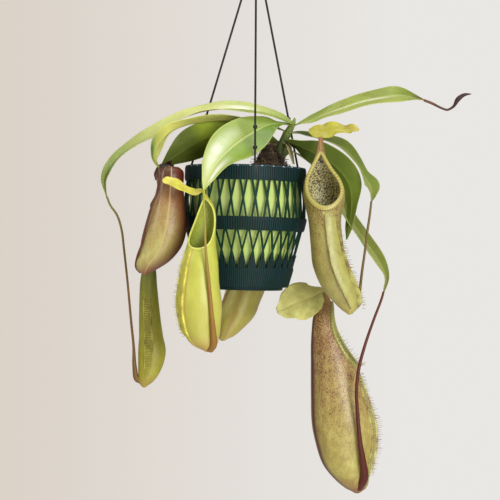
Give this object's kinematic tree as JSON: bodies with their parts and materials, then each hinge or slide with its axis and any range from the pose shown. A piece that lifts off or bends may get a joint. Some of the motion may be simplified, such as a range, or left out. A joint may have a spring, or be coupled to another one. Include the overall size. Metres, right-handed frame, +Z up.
{
  "type": "hanging pitcher plant",
  "caption": "Tropical pitcher plant with long leaves, tendrils and hanging lidded pitchers, in a lattice pot with a three-strand hanger and hook.",
  "frame": {"origin": "inner top of the hanger's hook, where it bears on what it hangs from", "axes": "+Z up, the front of the plant faces -Y, +X to the right seen from the front"},
  "size_m": [0.4251, 0.2345, 0.6688],
  "materials": {
    "stem_bark": "rough olive-brown bark",
    "dead_leaf": "dry, dark and creased",
    "leaf_green": "waxy living leaf, fine long veins, satin gloss",
    "leaf_yellow": "thin living leaf with light through it",
    "leaf_dark": "underside of a living leaf, dark and satin",
    "tendril_red": "smooth maroon tendril",
    "tendril_brown": "smooth orange-brown tendril",
    "pitcher_yellow": "waxy yellow-green wall",
    "pitcher_red": "tan wall with dark maroon edges",
    "pitcher_olive": "olive wall with brown specks, speckled inside",
    "pitcher_tan": "tan wall with red-brown specks",
    "pitcher_green": "young closed pitcher, olive green",
    "lid_yellow": "thin yellow lid",
    "lid_brown": "dark brown lid",
    "lid_olive": "thin olive-yellow lid",
    "pot_plastic": "dark blue-green moulded plastic, finely ribbed bands",
    "liner_plastic": "pale yellow-green moulded plastic",
    "growing_mix": "bark chips and moss, damp",
    "hanger_plastic": "dark moulded plastic"
  },
  "bodies": {
    "root": {"stem": "stem_bark", "old_leaf": "dead_leaf", "leaf_front": "leaf_green", "leaf_far_left": "leaf_green", "leaf_left_high": "leaf_yellow", "leaf_left_low": "leaf_dark", "leaf_right": "leaf_green", "leaf_right_arched": "leaf_green", "leaf_right_broad": "leaf_dark", "leaf_right_low": "leaf_green", "leaf_back": "leaf_dark", "tendril_bud": "tendril_red", "tendril_front": "tendril_brown", "tendril_left": "tendril_brown", "tendril_young": "tendril_brown", "tendril_right": "tendril_brown", "tendril_large": "tendril_red", "tendril_back": "tendril_brown", "pitcher_front": "pitcher_yellow", "pitcher_left": "pitcher_red", "pitcher_right": "pitcher_olive", "pitcher_large": "pitcher_tan", "pitcher_back": "pitcher_yellow", "pitcher_young": "pitcher_green", "lid_front": "lid_yellow", "lid_left": "lid_brown", "lid_right": "lid_yellow", "lid_large": "lid_olive", "lid_back": "lid_olive", "lattice_pot": "pot_plastic", "liner_pot": "liner_plastic", "growing_mix": "growing_mix", "hanger_hook": "hanger_plastic", "hanger_strand_front": "hanger_plastic", "hanger_strand_left": "hanger_plastic", "hanger_strand_right": "hanger_plastic"}
  },
  "joints": []
}
